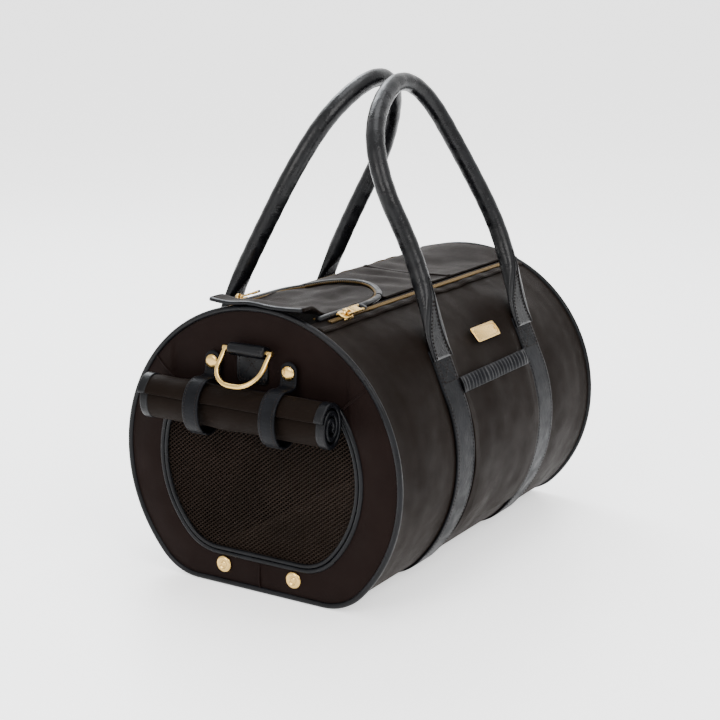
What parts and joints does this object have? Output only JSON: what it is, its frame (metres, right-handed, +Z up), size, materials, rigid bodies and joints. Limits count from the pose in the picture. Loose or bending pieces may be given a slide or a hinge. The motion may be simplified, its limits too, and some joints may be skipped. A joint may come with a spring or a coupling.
{
  "type": "pet carrier bag",
  "caption": "Soft-sided tote pet carrier: mesh end windows, rolled privacy flap, zipped fold-back lid with head opening, rolled leather handles.",
  "frame": {"origin": "centre of the footprint, on the surface the bag stands on", "axes": "+X along the length towards the rear end, +Y across towards the far side, +Z up"},
  "size_m": [0.4416, 0.285, 0.443],
  "materials": {
    "nylon": "dark brown woven nylon, soft sheen",
    "leather": "black grained leather, satin",
    "brass": "pale gold plated, polished",
    "mesh": "black open mesh",
    "rope": "twisted cotton",
    "board": "matt board",
    "steel": "spring wire",
    "tape": "woven tape",
    "cushion": "soft fleece"
  },
  "bodies": {
    "root": {"base_board": "board", "base_panel": "nylon", "far_lining": "tape", "far_side_wall": "nylon", "far_zip_chain": "brass", "far_zip_tape": "tape", "floor_cushion": "cushion", "front_body_strap": "leather", "front_hoop": "steel", "front_mesh": "mesh", "front_panel": "nylon", "front_piping": "leather", "front_ring_patch": "leather", "front_ring_tab": "leather", "front_window_binding": "leather", "nameplate": "brass", "nameplate_rivets": "brass", "near_lining": "tape", "near_side_wall": "nylon", "near_zip_chain": "brass", "near_zip_tape": "tape", "panel_snap_studs": "brass", "pocket_band": "leather", "pocket_panel": "nylon", "rear_body_strap": "leather", "rear_hoop": "steel", "rear_mesh": "mesh", "rear_panel": "nylon", "rear_piping": "leather", "rear_ring_patch": "leather", "rear_ring_tab": "leather", "rear_window_binding": "leather", "roll_end_bindings": "leather", "roll_strap_anchors": "leather", "roll_strap_studs": "brass", "rolled_flap": "nylon", "top_rear_panel": "nylon"},
    "near_handle": {"near_handle_core": "rope", "near_handle_cover": "leather", "near_handle_flares": "leather"},
    "near_slider": {"near_zip_slider": "brass"},
    "near_pull": {"near_zip_pull": "brass"},
    "near_roll_strap": {"near_roll_cap": "brass", "near_roll_strap": "leather"},
    "far_handle": {"far_handle_core": "rope", "far_handle_cover": "leather", "far_handle_flares": "leather"},
    "far_slider": {"far_zip_slider": "brass"},
    "far_pull": {"far_zip_pull": "brass"},
    "far_roll_strap": {"far_roll_cap": "brass", "far_roll_strap": "leather"},
    "front_d_ring": {"front_d_ring": "brass"},
    "rear_d_ring": {"rear_d_ring": "brass"},
    "lid_rear_leaf": {"lid_rear": "nylon"},
    "lid_front_leaf": {"lid_front": "nylon", "neck_binding": "leather"},
    "head_flap": {"head_flap": "nylon"}
  },
  "joints": [
    {"name": "near_handle_swing", "type": "hinge", "parent": "root", "child": "near_handle", "pos_m": [0, -0.11, 0.215], "axis": [1, 0, 0], "range_deg": [0, 140]},
    {"name": "near_zip_slide", "type": "slide", "parent": "root", "child": "near_slider", "axis": [1, 0, 0], "range_m": [0, 0.285]},
    {"name": "near_pull_flip", "type": "hinge", "parent": "near_slider", "child": "near_pull", "pos_m": [-0.143, -0.05566, 0.24919], "axis": [0, -0.9247, -0.3807], "range_deg": [0, 150]},
    {"name": "near_roll_strap_open", "type": "hinge", "parent": "root", "child": "near_roll_strap", "pos_m": [-0.22375, -0.034, 0.14722], "axis": [0, -1, 0], "range_deg": [0, 100]},
    {"name": "far_handle_swing", "type": "hinge", "parent": "root", "child": "far_handle", "pos_m": [0, 0.11, 0.215], "axis": [-1, 0, 0], "range_deg": [0, 140]},
    {"name": "far_zip_slide", "type": "slide", "parent": "root", "child": "far_slider", "axis": [1, 0, 0], "range_m": [0, 0.285]},
    {"name": "far_pull_flip", "type": "hinge", "parent": "far_slider", "child": "far_pull", "pos_m": [-0.143, 0.05566, 0.24919], "axis": [0, -0.9247, 0.3807], "range_deg": [0, 150]},
    {"name": "far_roll_strap_open", "type": "hinge", "parent": "root", "child": "far_roll_strap", "pos_m": [-0.22375, 0.044, 0.14722], "axis": [0, -1, 0], "range_deg": [0, 100]},
    {"name": "front_d_ring_swing", "type": "hinge", "parent": "root", "child": "front_d_ring", "pos_m": [-0.2025, 0.005, 0.219], "axis": [0, 1, 0], "range_deg": [0, 110]},
    {"name": "rear_d_ring_swing", "type": "hinge", "parent": "root", "child": "rear_d_ring", "pos_m": [0.2025, 0, 0.219], "axis": [0, -1, 0], "range_deg": [0, 150]},
    {"name": "lid_lift", "type": "hinge", "parent": "root", "child": "lid_rear_leaf", "pos_m": [0.165, 0, 0.2475], "axis": [0, 1, 0], "range_deg": [0, 40]},
    {"name": "lid_fold", "type": "hinge", "parent": "lid_rear_leaf", "child": "lid_front_leaf", "pos_m": [0.02, 0, 0.2475], "axis": [0, 1, 0], "range_deg": [0, 165]},
    {"name": "head_flap_open", "type": "hinge", "parent": "root", "child": "head_flap", "pos_m": [-0.199, 0, 0.2582], "axis": [0, -1, 0], "range_deg": [0, 140]}
  ]
}
